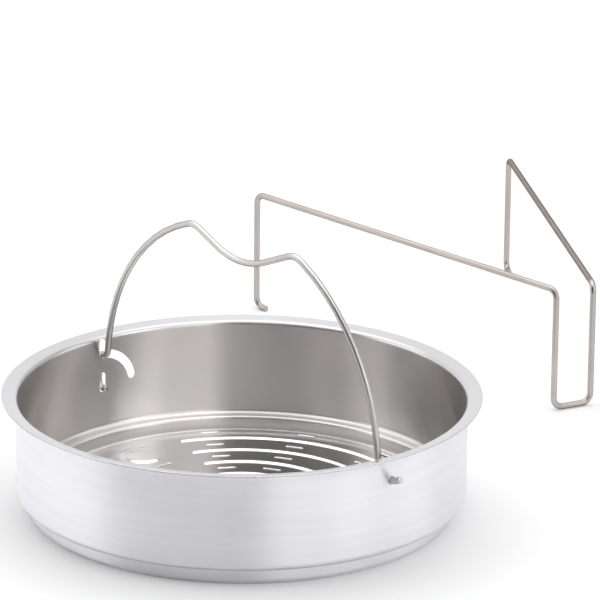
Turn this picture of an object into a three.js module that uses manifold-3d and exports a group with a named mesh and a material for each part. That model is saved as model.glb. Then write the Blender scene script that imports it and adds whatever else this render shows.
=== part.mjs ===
// Steamer set for a pressure cooker: a pressed steel basket with a slotted floor, the wire bail that
// lifts it, and the loose wire stand that carries it above the water.
// Millimetres, +Z up. Basket and stand both rest on z = 0, and the origin lies under the middle of
// the whole set.
import * as THREE from 'three';
import { mergeVertices } from 'three/addons/utils/BufferGeometryUtils.js';
import Module from 'manifold-3d';

const wasm = await Module();
wasm.setup();

// Basket, driving dimensions
const RIM_DIAMETER = 210;
const WALL_DIAMETER = 197.4;
const BASE_DIAMETER = 187.6;
const BASKET_HEIGHT = 53.3;
const SHEET = 0.8;
const RIM_SLOPE = 1.1;
const RIM_RADIUS = 1.8;
const LEDGE_HEIGHT = 7.5;
const LEDGE_RADIUS = 2.8;
const FLOOR_RISE = 2.6;
const FOOT_WIDTH = 4.5;
const FOOT_RADIUS = 1.6;

// Floor pattern, driving dimensions
const SECTORS = 3;
const RING_COUNT = 4;
const RING_PITCH = 15.1;
const SLOT_EDGE_MARGIN = 1.6;
const SLOT_LENGTH = 8.8;
const SLOT_WIDTH = 2.4;
const SLOT_ROW_ANGLE = 30;
const RIB_WIDTH = 4;
const RIB_HEIGHT = 0.9;
const RIB_CREST_SHARE = 0.35;
const RIB_SPAN = 84;
const DIMPLE_DIAMETER = 21.5;
const DIMPLE_HEIGHT = 1.5;
const DIMPLE_SLOPE_WIDTH = 2;

// Bail and the openings it hangs in, driving dimensions
const BAIL_WIRE = 2.8;
const BAIL_HEADING = -50;
const PIN_HEIGHT = 41.1;
const KEY_PIN_HEIGHT = 27.9;
const GUIDE_RADIUS = 16.1;
const SWING = 77;
const LIFT = 5.4;
const WIRE_CLEARANCE = 0.6;
const BAIL_SIDE_GAP = 7;
const KEY_SIDE_GAP = 3.3;
const BAIL_BEND = 3;
const PIN_REACH = 2.5;
const PIN_TIP = 4;
const PIN_TIP_ANGLE = 22;

// Corners of the bail's arch: how far in from its legs, how far from its middle, how far above the pin
const KEY_HAUNCH_INSET = 2.9;
const KEY_HAUNCH_RISE = 62.2;
const KEY_CREST_OFFSET = 34;
const KEY_CREST_RISE = 81.2;
const DIP_OFFSET = 2.2;
const DIP_RISE = 68.2;
const CREST_OFFSET = 34.5;
const CREST_RISE = 84;
const HAUNCH_INSET = 8.4;
const HAUNCH_RISE = 59.3;
const CREST_RADIUS = 10.5;
const DIP_RADIUS = 41;

// Stand, driving dimensions
const STAND_WIRE = 2.8;
const STAND_HEIGHT = 60;
const STAND_ARM = 200;
const STAND_SPREAD = 17.5;
const STAND_GAP = 19.5;
const STAND_HOOK = 7;
const STAND_BEND = 4.5;
const STAND_PLACE = new THREE.Vector2(153.2, 130.6);
const STAND_HEADING = 116;

// Facets
const FACET_ERROR = 0.12;
const LATHE_FACETS = 48;
const FACET_TURN = 0.05; // radians, so that no facet edge runs along a row of slots
const WIRE_SIDES = 8;
const RIB_STEPS = 6;
const DIMPLE_FACETS = 16;
const ARC_FACETS = 8;

// Sizes worked out from the driving dimensions
const wallInside = WALL_DIAMETER / 2 - SHEET;
const wallMiddle = (WALL_DIAMETER - SHEET) / 2;
const baseMiddle = (BASE_DIAMETER - SHEET) / 2;
const footInside = baseMiddle - FOOT_WIDTH;
const floorTop = FLOOR_RISE + SHEET;
const slotRing = footInside - FOOT_RADIUS - SLOT_EDGE_MARGIN - SLOT_WIDTH / 2;
const ribRing = slotRing - RING_PITCH / 2;
const openingWidth = BAIL_WIRE + 2 * WIRE_CLEARANCE;
const rad = THREE.MathUtils.degToRad;

const steel = (color, roughness) => new THREE.MeshStandardMaterial({ color, roughness, metalness: 1 });

// Stations along straight runs that meet in rounded corners, each corner a point and a bend radius.
// A bend that is too wide for the run beside it is drawn in until it fits.
function bentLine(corners) {
  const points = corners.map(([point]) => point);
  const turns = points.map((p, i) => {
    if (i === 0 || i === points.length - 1) return { angle: 0, reach: 0 };
    const into = p.clone().sub(points[i - 1]);
    const out = points[i + 1].clone().sub(p);
    const angle = into.angleTo(out);
    return { angle, reach: corners[i][1] * Math.tan(angle / 2) };
  });
  const share = points.slice(1).map((p, i) => {
    const wanted = turns[i].reach + turns[i + 1].reach;
    return Math.min(1, p.distanceTo(points[i]) / Math.max(wanted, 1e-9));
  });
  const stations = [];
  points.forEach((p, i) => {
    const { angle, reach } = turns[i];
    if (angle < 1e-6) {
      const ahead = i === 0 ? points[1].clone().sub(p) : p.clone().sub(points[i - 1]);
      stations.push({ point: p, tangent: ahead.normalize() });
      return;
    }
    const back = points[i - 1].clone().sub(p).normalize();
    const ahead = points[i + 1].clone().sub(p).normalize();
    const inward = back.clone().add(ahead).normalize();
    const along = ahead.clone().sub(back).normalize();
    const radius = reach * Math.min(share[i - 1], share[i]) / Math.tan(angle / 2);
    const centre = p.clone().addScaledVector(inward, radius / Math.cos(angle / 2));
    const widest = 2 * Math.acos(1 - Math.min(FACET_ERROR / radius, 0.1));
    const steps = Math.max(2, Math.ceil(angle / widest));
    for (let k = 0; k <= steps; k += 1) {
      const turned = angle * (k / steps - 0.5);
      stations.push({
        point: centre.clone().addScaledVector(inward, -radius * Math.cos(turned))
          .addScaledVector(along, radius * Math.sin(turned)),
        tangent: inward.clone().multiplyScalar(Math.sin(turned))
          .addScaledVector(along, Math.cos(turned)),
      });
    }
  });
  const last = stations.length - 1;
  return stations.filter((s, i) => i === last || s.point.distanceTo(stations[i + 1].point) > 1e-3);
}

// A curve that is walked station by station, so that an extrusion bends only where the wire does
class BentWire extends THREE.Curve {
  constructor(corners) {
    super();
    this.stations = bentLine(corners);
    this.steps = this.stations.length - 1;
  }

  at(u) {
    return this.stations[Math.round(u * this.steps)];
  }

  getPoint(u, target = new THREE.Vector3()) {
    return target.copy(this.at(u).point);
  }

  getPointAt(u, target) {
    return this.getPoint(u, target);
  }

  getTangentAt(u, target = new THREE.Vector3()) {
    return target.copy(this.at(u).tangent);
  }
}

// Round wire along a bent path. The section's corners lie on the wire's own radius.
function wire(corners, diameter) {
  const path = new BentWire(corners);
  const section = new THREE.Shape(new THREE.Path()
    .absarc(0, 0, diameter / 2, 0, 2 * Math.PI, false).getSpacedPoints(WIRE_SIDES).slice(0, -1));
  return new THREE.ExtrudeGeometry(section, { steps: path.steps, extrudePath: path });
}

// Closed solid from a geometry: vertices merged, empty triangles dropped, faces turned outwards
function solid(geometry, placed = new THREE.Matrix4()) {
  const bare = new THREE.BufferGeometry();
  bare.setAttribute('position', geometry.getAttribute('position').clone());
  bare.setIndex(geometry.getIndex());
  bare.applyMatrix4(placed);
  const merged = mergeVertices(bare, 1e-4);
  const position = merged.getAttribute('position');
  const index = merged.getIndex().array;
  const corner = (i) => new THREE.Vector3().fromBufferAttribute(position, i);
  const triangles = [];
  let volume = 0;
  for (let i = 0; i < index.length; i += 3) {
    const [a, b, c] = [index[i], index[i + 1], index[i + 2]];
    if (a === b || b === c || c === a) continue;
    triangles.push([a, b, c]);
    volume += corner(a).dot(corner(b).cross(corner(c)));
  }
  const outward = volume > 0 ? triangles : triangles.map(([a, b, c]) => [a, c, b]);
  return new wasm.Manifold(new wasm.Mesh({
    numProp: 3,
    vertProperties: new Float32Array(position.array),
    triVerts: new Uint32Array(outward.flat()),
  }));
}

function geometryOf(body) {
  const { vertProperties, triVerts } = body.getMesh();
  const geometry = new THREE.BufferGeometry();
  geometry.setAttribute('position', new THREE.BufferAttribute(vertProperties, 3));
  geometry.setIndex(new THREE.BufferAttribute(triVerts, 1));
  geometry.computeVertexNormals();
  return geometry;
}

// Outline of a straight slot with round ends, between two centres
function slotOutline(from, to, width) {
  const along = Math.atan2(to.y - from.y, to.x - from.x);
  const quarter = Math.PI / 2;
  return new THREE.Shape()
    .absarc(from.x, from.y, width / 2, along + quarter, along + 3 * quarter, false)
    .absarc(to.x, to.y, width / 2, along - quarter, along + quarter, false);
}

// Outline of a slot that follows an arc about the origin, with round ends
function arcSlotOutline(radius, width, from, to) {
  const end = (angle) => new THREE.Vector2(Math.cos(angle), Math.sin(angle)).multiplyScalar(radius);
  const [first, last] = [end(from), end(to)];
  return new THREE.Shape()
    .absarc(0, 0, radius + width / 2, from, to, false)
    .absarc(last.x, last.y, width / 2, to, to + Math.PI, false)
    .absarc(0, 0, radius - width / 2, to, from, true)
    .absarc(first.x, first.y, width / 2, from + Math.PI, from + 2 * Math.PI, false);
}

const prism = (outline, depth, curveSegments) => new THREE.ExtrudeGeometry(
  outline,
  { depth, bevelEnabled: false, curveSegments },
).translate(0, 0, -depth / 2);

// The sheet in section, from the axis along the floor, round the foot and the ledge, up to the rim
function sheetSection() {
  const half = SHEET / 2;
  const rimTilt = Math.atan2(RIM_SLOPE, RIM_DIAMETER / 2 - wallMiddle);
  const rimTop = BASKET_HEIGHT - half * Math.cos(rimTilt);
  const corner = (r, z, radius = 0) => [new THREE.Vector3(r, z, 0), radius];
  const middle = bentLine([
    corner(0, FLOOR_RISE + half),
    corner(footInside, FLOOR_RISE + half, FOOT_RADIUS / 2),
    corner(footInside, half, FOOT_RADIUS / 2),
    corner(baseMiddle, half, FOOT_RADIUS),
    corner(baseMiddle, LEDGE_HEIGHT + half, LEDGE_RADIUS / 2),
    corner(wallMiddle, LEDGE_HEIGHT + half, LEDGE_RADIUS),
    corner(wallMiddle, rimTop - RIM_SLOPE, RIM_RADIUS),
    corner(RIM_DIAMETER / 2 - half * Math.sin(rimTilt), rimTop),
  ]);
  const face = (side) => middle.map(({ point, tangent }) => new THREE.Vector2(
    point.x - side * half * tangent.y,
    point.y + side * half * tangent.x,
  ));
  return [...face(1), ...face(-1).reverse()];
}

// Arc of the floor that a rib, or the hollow under it, follows
class RibPath extends THREE.Curve {
  constructor(radius, middle, span) {
    super();
    Object.assign(this, { radius, middle, span });
  }

  getPoint(u, target = new THREE.Vector3()) {
    const angle = this.middle + (u - 0.5) * this.span;
    return target.set(this.radius * Math.cos(angle), this.radius * Math.sin(angle), 0);
  }
}

function rib(path, width, foot, height) {
  const half = width / 2;
  const crest = half * RIB_CREST_SHARE;
  const section = new THREE.Shape([
    new THREE.Vector2(foot, -half),
    new THREE.Vector2(foot, half),
    new THREE.Vector2(-height, crest),
    new THREE.Vector2(-height, -crest),
  ]);
  return new THREE.ExtrudeGeometry(section, { steps: RIB_STEPS, extrudePath: path });
}

const lifted = (z) => new THREE.Matrix4().makeTranslation(0, 0, z);

// Place on the floor, at a radius and an angle, with x pointing along the ring
function onRing(radius, angle, z) {
  return new THREE.Matrix4().makeRotationZ(angle)
    .multiply(new THREE.Matrix4().makeTranslation(radius, 0, z))
    .multiply(new THREE.Matrix4().makeRotationZ(Math.PI / 2));
}

function pressRibs(sheet, middle) {
  let body = sheet;
  for (let ring = 0; ring < RING_COUNT; ring += 1) {
    const radius = ribRing - ring * RING_PITCH;
    const span = rad(RIB_SPAN);
    const ridge = rib(new RibPath(radius, middle, span), RIB_WIDTH, SHEET / 2, RIB_HEIGHT);
    const under = new RibPath(radius, middle, span - 2 * SHEET / radius);
    const hollow = rib(under, RIB_WIDTH - SHEET, SHEET, RIB_HEIGHT);
    body = body.add(solid(ridge, lifted(floorTop))).subtract(solid(hollow, lifted(FLOOR_RISE)));
  }
  return body;
}

function pressDimple(sheet, angle) {
  const radius = slotRing - RING_PITCH;
  const height = DIMPLE_HEIGHT + SHEET / 2;
  const top = DIMPLE_DIAMETER / 2 - DIMPLE_SLOPE_WIDTH;
  const boss = new THREE.CylinderGeometry(top, DIMPLE_DIAMETER / 2, height, DIMPLE_FACETS);
  const hollow = new THREE.CylinderGeometry(
    top - SHEET,
    DIMPLE_DIAMETER / 2 - SHEET,
    height,
    DIMPLE_FACETS,
  );
  const upright = new THREE.Matrix4().makeRotationX(Math.PI / 2);
  const place = (z) => onRing(radius, angle, z).multiply(upright);
  return sheet
    .add(solid(boss, place(floorTop + DIMPLE_HEIGHT - height / 2)))
    .subtract(solid(hollow, place(FLOOR_RISE + DIMPLE_HEIGHT - height / 2)));
}

function cutFloorSlots(sheet, middle) {
  const reach = (SLOT_LENGTH - SLOT_WIDTH) / 2;
  const outline = slotOutline(new THREE.Vector2(-reach, 0), new THREE.Vector2(reach, 0), SLOT_WIDTH);
  const cutter = prism(outline, 4 * SHEET, 3);
  const dimpleRow = SECTORS > 1 ? Math.PI / SECTORS : Math.PI;
  const rows = [-1, 0, 1].map((row) => ({ angle: middle + row * rad(SLOT_ROW_ANGLE), first: 0 }));
  let body = sheet;
  [...rows, { angle: middle + dimpleRow, first: 2 }].forEach(({ angle, first }) => {
    for (let ring = first; ring < RING_COUNT; ring += 1) {
      const place = onRing(slotRing - ring * RING_PITCH, angle, FLOOR_RISE + SHEET / 2);
      body = body.subtract(solid(cutter, place));
    }
  });
  return body;
}

// The bail turns about the line from the pin in the key slot, at -x, to the pin in the round hole
const hingeSlope = (PIN_HEIGHT - KEY_PIN_HEIGHT) / (2 * wallMiddle);
const hingeHeight = (x) => KEY_PIN_HEIGHT + (x + wallMiddle) * hingeSlope;

// Frame on the hinge line at x, for outlines cut through the wall: their x points to the side that
// the bail folds to, their y upwards, and they are cut along the hinge
function hingeFrame(x) {
  const along = new THREE.Vector3(1, 0, hingeSlope).normalize();
  const side = new THREE.Vector3(0, 1, 0);
  const up = along.clone().cross(side);
  return new THREE.Matrix4().makeBasis(side, up, along).setPosition(x, 0, hingeHeight(x));
}

// Round hole at +x. At -x a key slot, and about its lower end an arc slot that runs on upwards, so
// that the raised bail is locked upright.
function cutBailOpenings(sheet) {
  const depth = RIM_DIAMETER - WALL_DIAMETER;
  const origin = new THREE.Vector2();
  const guideTop = new THREE.Vector2(0, GUIDE_RADIUS);
  const up = (from) => from.clone().add(new THREE.Vector2(0, LIFT));
  const upright = Math.PI / 2;
  const key = hingeFrame(-wallMiddle);
  const hole = new THREE.Shape().absarc(0, 0, openingWidth / 2, 0, 2 * Math.PI, false);
  const cuts = [
    [slotOutline(origin, up(origin), openingWidth), key],
    [slotOutline(guideTop, up(guideTop), openingWidth), key],
    [arcSlotOutline(GUIDE_RADIUS, openingWidth, upright - rad(SWING), upright), key],
    [hole, hingeFrame(wallMiddle)],
  ];
  return cuts.reduce(
    (body, [outline, frame]) => body.subtract(solid(prism(outline, depth, ARC_FACETS), frame)),
    sheet,
  );
}

function basketGeometry() {
  const lathe = new THREE.LatheGeometry(sheetSection(), LATHE_FACETS, FACET_TURN);
  let body = solid(lathe.rotateX(Math.PI / 2));
  for (let sector = 0; sector < SECTORS; sector += 1) {
    const middle = (2 * Math.PI * sector) / SECTORS;
    body = pressRibs(body, middle);
    body = pressDimple(body, middle + Math.PI / SECTORS);
    body = cutFloorSlots(body, middle);
  }
  return geometryOf(cutBailOpenings(body));
}

// One wire: hooked through the key slot, outside the wall to the guide slot, over the arch with its
// thumb dip, down inside the wall and out through the round hole
function bailCorners() {
  const corner = (x, z, bend = 0) => [new THREE.Vector3(x, 0, z), bend];
  const outside = WALL_DIAMETER / 2 + BAIL_WIRE / 2 + WIRE_CLEARANCE;
  const archRadius = wallInside - BAIL_SIDE_GAP;
  const guideHeight = KEY_PIN_HEIGHT + GUIDE_RADIUS;
  const tipX = outside + PIN_TIP * Math.cos(rad(PIN_TIP_ANGLE));
  const tipZ = hingeHeight(outside) + PIN_TIP * Math.sin(rad(PIN_TIP_ANGLE));
  return [
    corner(PIN_REACH - wallInside, hingeHeight(PIN_REACH - wallInside)),
    corner(-outside, hingeHeight(-outside), BAIL_BEND),
    corner(-outside, guideHeight, BAIL_BEND),
    corner(KEY_SIDE_GAP - wallInside, guideHeight, BAIL_BEND),
    corner(KEY_HAUNCH_INSET - archRadius, PIN_HEIGHT + KEY_HAUNCH_RISE, archRadius),
    corner(-KEY_CREST_OFFSET, PIN_HEIGHT + KEY_CREST_RISE, CREST_RADIUS),
    corner(-DIP_OFFSET, PIN_HEIGHT + DIP_RISE, DIP_RADIUS),
    corner(CREST_OFFSET, PIN_HEIGHT + CREST_RISE, CREST_RADIUS),
    corner(archRadius - HAUNCH_INSET, PIN_HEIGHT + HAUNCH_RISE, archRadius),
    corner(archRadius, hingeHeight(archRadius), BAIL_BEND),
    corner(outside, hingeHeight(outside), BAIL_BEND),
    corner(tipX, tipZ),
  ];
}

// One wire: two arms that open from a U-shaped leg, each ending in a leg with a foot turned inwards.
// The stand's x runs from the U to between the two other legs.
function standCorners() {
  const low = STAND_WIRE / 2;
  const high = STAND_HEIGHT - STAND_WIRE / 2;
  const spread = rad(STAND_SPREAD);
  const halfWire = (side) => {
    const out = new THREE.Vector2(Math.cos(spread), side * Math.sin(spread));
    const start = new THREE.Vector2(0, side * STAND_GAP / 2);
    const end = start.clone().addScaledVector(out, STAND_ARM);
    const hook = end.clone().addScaledVector(out, -STAND_HOOK);
    const corner = (p, z, bend = 0) => [new THREE.Vector3(p.x, p.y, z), bend];
    return [
      corner(hook, low),
      corner(end, low, STAND_BEND),
      corner(end, high, STAND_BEND),
      corner(start, high, STAND_BEND),
      corner(start, low, STAND_BEND),
    ];
  };
  return [...halfWire(1), ...halfWire(-1).reverse()];
}

function named(name, geometry, material) {
  const mesh = new THREE.Mesh(geometry, material);
  mesh.name = name;
  return mesh;
}

const insert = new THREE.Group();
insert.rotation.z = rad(BAIL_HEADING);
insert.add(
  named('steamer_basket', basketGeometry(), steel(0xc9c8ca, 0.32)),
  named('bail_handle', geometryOf(solid(wire(bailCorners(), BAIL_WIRE))), steel(0xb4aea8, 0.28)),
);

const stand = new THREE.Group();
stand.position.set(STAND_PLACE.x, STAND_PLACE.y, 0);
stand.rotation.z = rad(STAND_HEADING);
stand.add(
  named('tripod_stand', geometryOf(solid(wire(standCorners(), STAND_WIRE))), steel(0xaea9a2, 0.3)),
);

const steamerSet = new THREE.Group();
steamerSet.add(insert, stand);
const middle = new THREE.Box3().setFromObject(steamerSet, true).getCenter(new THREE.Vector3());
steamerSet.position.set(-middle.x, -middle.y, 0);

export default steamerSet;
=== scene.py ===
"""Looks of a steamer set: a pressed basket, its wire bail, its tripod stand, and the stage they stand on."""
import math

import bpy
import numpy as np
from bpy.props import FloatProperty, FloatVectorProperty, IntProperty, PointerProperty
from mathutils import Matrix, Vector
from mathutils.geometry import delaunay_2d_cdt


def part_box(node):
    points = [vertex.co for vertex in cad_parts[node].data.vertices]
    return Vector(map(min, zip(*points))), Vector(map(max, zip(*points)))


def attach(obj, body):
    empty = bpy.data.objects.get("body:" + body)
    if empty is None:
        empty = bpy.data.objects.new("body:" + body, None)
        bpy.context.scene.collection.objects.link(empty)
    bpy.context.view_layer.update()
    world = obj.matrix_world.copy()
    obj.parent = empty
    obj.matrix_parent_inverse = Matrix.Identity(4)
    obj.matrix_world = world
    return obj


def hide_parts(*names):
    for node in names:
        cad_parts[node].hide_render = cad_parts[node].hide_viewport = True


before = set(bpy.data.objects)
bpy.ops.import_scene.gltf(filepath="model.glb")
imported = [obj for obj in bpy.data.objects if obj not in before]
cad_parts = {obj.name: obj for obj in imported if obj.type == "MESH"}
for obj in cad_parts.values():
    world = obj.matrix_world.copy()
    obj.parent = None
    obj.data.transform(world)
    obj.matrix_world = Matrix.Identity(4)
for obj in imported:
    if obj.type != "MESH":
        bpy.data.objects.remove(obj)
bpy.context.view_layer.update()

bl_info = {
    "name": "Steamer set",
    "version": (1, 0, 0),
    "blender": (4, 5, 0),
    "location": "View3D > Sidebar > Steamer",
    "description": "Builds a pressed steamer basket, its wire bail, its tripod stand and a pale studio stage",
    "category": "Object",
}

BASKET_LOW, BASKET_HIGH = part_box("steamer_basket")
BASKET_PLACE = ((BASKET_LOW[0] + BASKET_HIGH[0]) / 2, (BASKET_LOW[1] + BASKET_HIGH[1]) / 2)


def setting(kind, **fixed):
    """A maker of properties of one kind, from their name, description and default."""
    return lambda name, description, default: kind(
        name=name, description=description, default=default, **fixed
    )


whole = setting(IntProperty, min=1)
length = setting(FloatProperty, min=0.0, unit="LENGTH", precision=5)
share = setting(FloatProperty, min=0.0, max=1.0, subtype="FACTOR")
radians = setting(FloatProperty, subtype="ANGLE")
tint = setting(FloatVectorProperty, min=0.0, max=1.0, subtype="COLOR")
spot = setting(FloatVectorProperty, size=2, subtype="XYZ", unit="LENGTH")


def turn(name, description, degrees):
    """An angle, given in degrees and kept in radians."""
    return radians(name, description, math.radians(degrees))


class BasketSizes(bpy.types.PropertyGroup):
    """Sizes of the pressed sheet, all outside sizes unless they say otherwise"""

    rim: length("Rim diameter", "Across the turned-out rim", 0.20984)
    wall: length("Wall diameter", "Across the straight wall", 0.1974)
    base: length("Base diameter", "Across the stepped-in base", 0.1876)
    height: length("Height", "From the table to the rim", 0.0533)
    sheet: length("Sheet", "Thickness of the steel sheet", 0.0008)
    rim_slope: length("Rim slope", "How much higher the rim's edge is than its bend", 0.0011)
    rim_bend: length("Rim bend", "Bend radius from the wall into the rim", 0.0018)
    ledge_height: length("Ledge height", "Underside of the ledge above the table", 0.0075)
    ledge_bend: length("Ledge bend", "Bend radius from the ledge into the wall", 0.0028)
    floor_rise: length("Floor rise", "Underside of the floor above the table", 0.0026)
    floor_bend: length("Floor bend", "Bend radius at the floor's edge", 0.0012)
    foot_width: length("Foot width", "Width of the ring that the basket stands on", 0.0035)
    foot_bend: length("Foot bend", "Bend radius outside the foot", 0.0024)
    foot_crease: length("Foot crease", "Bend radius inside the foot", 0.0008)


class FloorPattern(bpy.types.PropertyGroup):
    """Ribs, dimples and slots of the floor"""

    sectors: whole("Sectors", "Fans of ribs round the floor", 3)
    rings: whole("Rings", "Ribs in each fan", 4)
    pitch: length("Ring pitch", "From one ring of slots to the next", 0.0151)
    edge_margin: length("Edge margin", "From the foot to the outer slots", 0.0042)
    slot_length: length("Slot length", "Over the round ends", 0.0088)
    slot_width: length("Slot width", "Across a slot", 0.0024)
    slot_row: turn("Row angle", "From one row of slots to the next", 30)
    rib_width: length("Rib width", "Across the foot of a rib", 0.0038)
    rib_height: length("Rib height", "Above the floor", 0.0008)
    rib_span: turn("Rib span", "Angle from one end of a rib to the other", 84)
    dimple: length("Dimple diameter", "Across the foot of a dimple", 0.0215)
    dimple_height: length("Dimple height", "Edge of a dimple's top above the floor", 0.0008)
    dimple_slope: length("Dimple slope", "Width of a dimple's sloping edge", 0.0028)
    dimple_crown: length("Dimple crown", "Middle of a dimple's top above its edge", 0.0007)
    brim_step: length("Brim step", "Rise of the floor's brim at the outer ribs", 0.0002)
    brim_tilt: turn("Brim tilt", "Slope of the floor's brim outside the outer ribs", 0.5)


class BailSizes(bpy.types.PropertyGroup):
    """Sizes of the bail and of the openings it hangs in"""

    wire: length("Wire", "Diameter of the wire", 0.0028)
    heading: turn("Heading", "Direction from the key slot to the round hole", -50)
    pin_height: length("Pin height", "Middle of the round hole above the table", 0.0411)
    key_height: length("Key pin height", "Middle of the pin in the key slot", 0.0279)
    guide_radius: length("Guide radius", "From the key pin to the arc slot", 0.0161)
    swing: turn("Swing", "Angle of the arc slot", 77)
    lift: length("Lift", "Travel in the key slot", 0.0054)
    clearance: length("Clearance", "Round the wire in its openings", 0.0006)
    side_gap: length("Side gap", "From the wall to the bail, by the round hole", 0.007)
    key_gap: length("Key side gap", "From the wall to the bail, by the key slot", 0.0033)
    key_haunch_inset: length("Key haunch inset", "Key side's shoulder, in from the leg", 0.0029)
    key_haunch_rise: length("Key haunch rise", "Key side's shoulder above the pin", 0.0622)
    key_crest: length("Key crest offset", "Key side's crest from the bail's middle", 0.034)
    key_crest_rise: length("Key crest rise", "Key side's crest above the pin", 0.0812)
    dip: length("Dip offset", "Thumb dip from the bail's middle, towards the key", 0.0022)
    dip_rise: length("Dip rise", "Corner of the thumb dip above the pin", 0.0682)
    crest: length("Crest offset", "Pin side's crest from the bail's middle", 0.0345)
    crest_rise: length("Crest rise", "Pin side's crest above the pin", 0.0839)
    haunch_inset: length("Haunch inset", "Pin side's shoulder, in from the leg", 0.0084)
    haunch_rise: length("Haunch rise", "Pin side's shoulder above the pin", 0.0593)
    crest_bend: length("Crest bend", "Bend radius of a crest", 0.0105)
    dip_bend: length("Dip bend", "Bend radius of the thumb dip", 0.041)
    bend: length("Bend", "Bend radius of the hooked ends", 0.003)
    pin_reach: length("Pin reach", "How far the key pin reaches inside the wall", 0.0025)
    tip: length("Tip", "Length of the turned-up end outside the round hole", 0.004)
    tip_angle: turn("Tip angle", "Turn of that end", 22)


class StandSizes(bpy.types.PropertyGroup):
    """Sizes of the tripod stand"""

    wire: length("Wire", "Diameter of the wire", 0.00277)
    height: length("Height", "From the table to the top of the arms", 0.06)
    arm: length("Arm", "From the U-shaped leg to a plain leg", 0.2)
    spread: turn("Spread", "Half the angle between the arms", 17.5)
    gap: length("Gap", "Between the two sides of the U-shaped leg", 0.0195)
    hook: length("Hook", "Length of a turned-in foot", 0.007)
    bend: length("Bend", "Bend radius", 0.0045)
    place: spot("Place", "Middle of the U-shaped leg, from the basket's middle", (0.1532, 0.1306))
    heading: turn("Heading", "Direction from the U-shaped leg to between the others", 116)


class SteelLooks(bpy.types.PropertyGroup):
    """Colours of the steels"""

    outer: tint("Outer wall", "Satin steel outside", (0.895, 0.89, 0.93))
    inner: tint("Inner wall", "Satin steel inside", (0.775, 0.75, 0.735))
    floor: tint("Basket floor", "Polished steel of the floor", (0.69, 0.68, 0.685))
    # Painted highlight: the brim's pale tone gives the bright line along the floor's edge.
    brim: tint("Brim", "Pale steel of the floor's edge", (0.97, 0.965, 0.96))
    rim: tint("Rim", "Satin steel of the rim", (0.65, 0.645, 0.66))
    bail: tint("Bail wire", "Drawn wire of the bail", (0.65, 0.625, 0.615))
    stand: tint("Stand wire", "Drawn wire of the stand", (0.51, 0.47, 0.445))


class StageLooks(bpy.types.PropertyGroup):
    """Colours and light of the stage"""

    table: tint("Table", "Matt pale table", (0.92, 0.92, 0.92))
    room: tint("Room", "Palest part of the studio", (1.0, 1.0, 1.0))
    shade: tint("Shaded side", "Darkest part of the studio, on the side of the viewer", (0.07, 0.07, 0.075))
    lift: share("Table lift", "White added to the table where it is seen", 0.2)


class SteamerSettings(bpy.types.PropertyGroup):
    """Everything a user would change"""

    basket: PointerProperty(type=BasketSizes)
    pattern: PointerProperty(type=FloorPattern)
    bail: PointerProperty(type=BailSizes)
    stand: PointerProperty(type=StandSizes)
    steel: PointerProperty(type=SteelLooks)
    stage: PointerProperty(type=StageLooks)


# Lines and profiles

CLOSE = 1e-6
NO_BEND = 1e-9
NO_STEP = 1e-8
TINY = 1e-12


def rounded_line(corners, bends, run_step, turn_step):
    """Points, unit tangents and distances along straight runs whose corners are rounded.

    A corner that turns by a, with bend radius R, is replaced by an arc that starts R tan(a/2) before
    it. Where two bends don't fit on the run between them, both are drawn in by the same share.
    """
    corners = np.asarray(corners, float)
    runs = np.diff(corners, axis=0)
    run_length = np.linalg.norm(runs, axis=1)
    ahead = runs / run_length[:, None]
    angle = np.zeros(len(corners))
    angle[1:-1] = np.arccos(np.clip((ahead[:-1] * ahead[1:]).sum(1), -1, 1))
    reach = np.asarray(bends, float) * np.tan(angle / 2)
    fit = np.minimum(1, run_length / np.maximum(reach[:-1] + reach[1:], TINY))
    reach[1:-1] *= np.minimum(fit[:-1], fit[1:])
    points, tangents, distances = [corners[:1]], [ahead[:1]], [np.zeros(1)]
    gone = 0.0
    for i in range(1, len(corners)):
        straight = run_length[i - 1] - reach[i - 1] - reach[i]
        count = max(1, math.ceil(straight / run_step))
        along = straight * np.arange(1, count + 1) / count
        start = corners[i - 1] + ahead[i - 1] * reach[i - 1]
        points.append(start + along[:, None] * ahead[i - 1])
        tangents.append(np.repeat(ahead[i - 1 : i], count, axis=0))
        distances.append(gone + along)
        gone += straight
        if reach[i] < NO_BEND:
            continue
        radius = reach[i] / math.tan(angle[i] / 2)
        inward, across = unit(ahead[i] - ahead[i - 1]), unit(ahead[i] + ahead[i - 1])
        centre = corners[i] + inward * radius / math.cos(angle[i] / 2)
        steps = max(2, math.ceil(angle[i] / turn_step))
        turned = angle[i] * (np.arange(1, steps + 1) / steps - 0.5)[:, None]
        points.append(centre - inward * radius * np.cos(turned) + across * radius * np.sin(turned))
        tangents.append(inward * np.sin(turned) + across * np.cos(turned))
        distances.append(gone + radius * (turned[:, 0] + angle[i] / 2))
        gone += radius * angle[i]
    points, tangents, distances = map(np.concatenate, (points, tangents, distances))
    kept = np.append(np.diff(distances) > NO_STEP, True)
    return points[kept], tangents[kept], distances[kept]


def smooth_step(low, high, value):
    """0 below low, 1 above high, and 3t^2 - 2t^3 between them."""
    t = np.clip((value - low) / (high - low), 0, 1)
    return t * t * (3 - 2 * t)


def unit(vectors):
    """Vectors brought to length 1."""
    return vectors / np.linalg.norm(vectors, axis=-1, keepdims=True)


def polar(radius, angle):
    """Points at radii and angles about the origin."""
    return np.column_stack((radius * np.cos(angle), radius * np.sin(angle)))


def apart(first, second):
    """Angle between two directions, 0 to pi."""
    return np.abs((first - second + np.pi) % (2 * np.pi) - np.pi)


def spun(x, y, angle):
    """Two coordinates, or two axes, turned by an angle."""
    c, s = math.cos(angle), math.sin(angle)
    return c * x - s * y, s * x + c * y


def put_in_place(points, heading, place):
    """Points turned about the upright axis by heading, then moved by place."""
    x, y = spun(points[:, 0], points[:, 1], heading)
    return np.column_stack((x + place[0], y + place[1], points[:, 2]))


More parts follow.
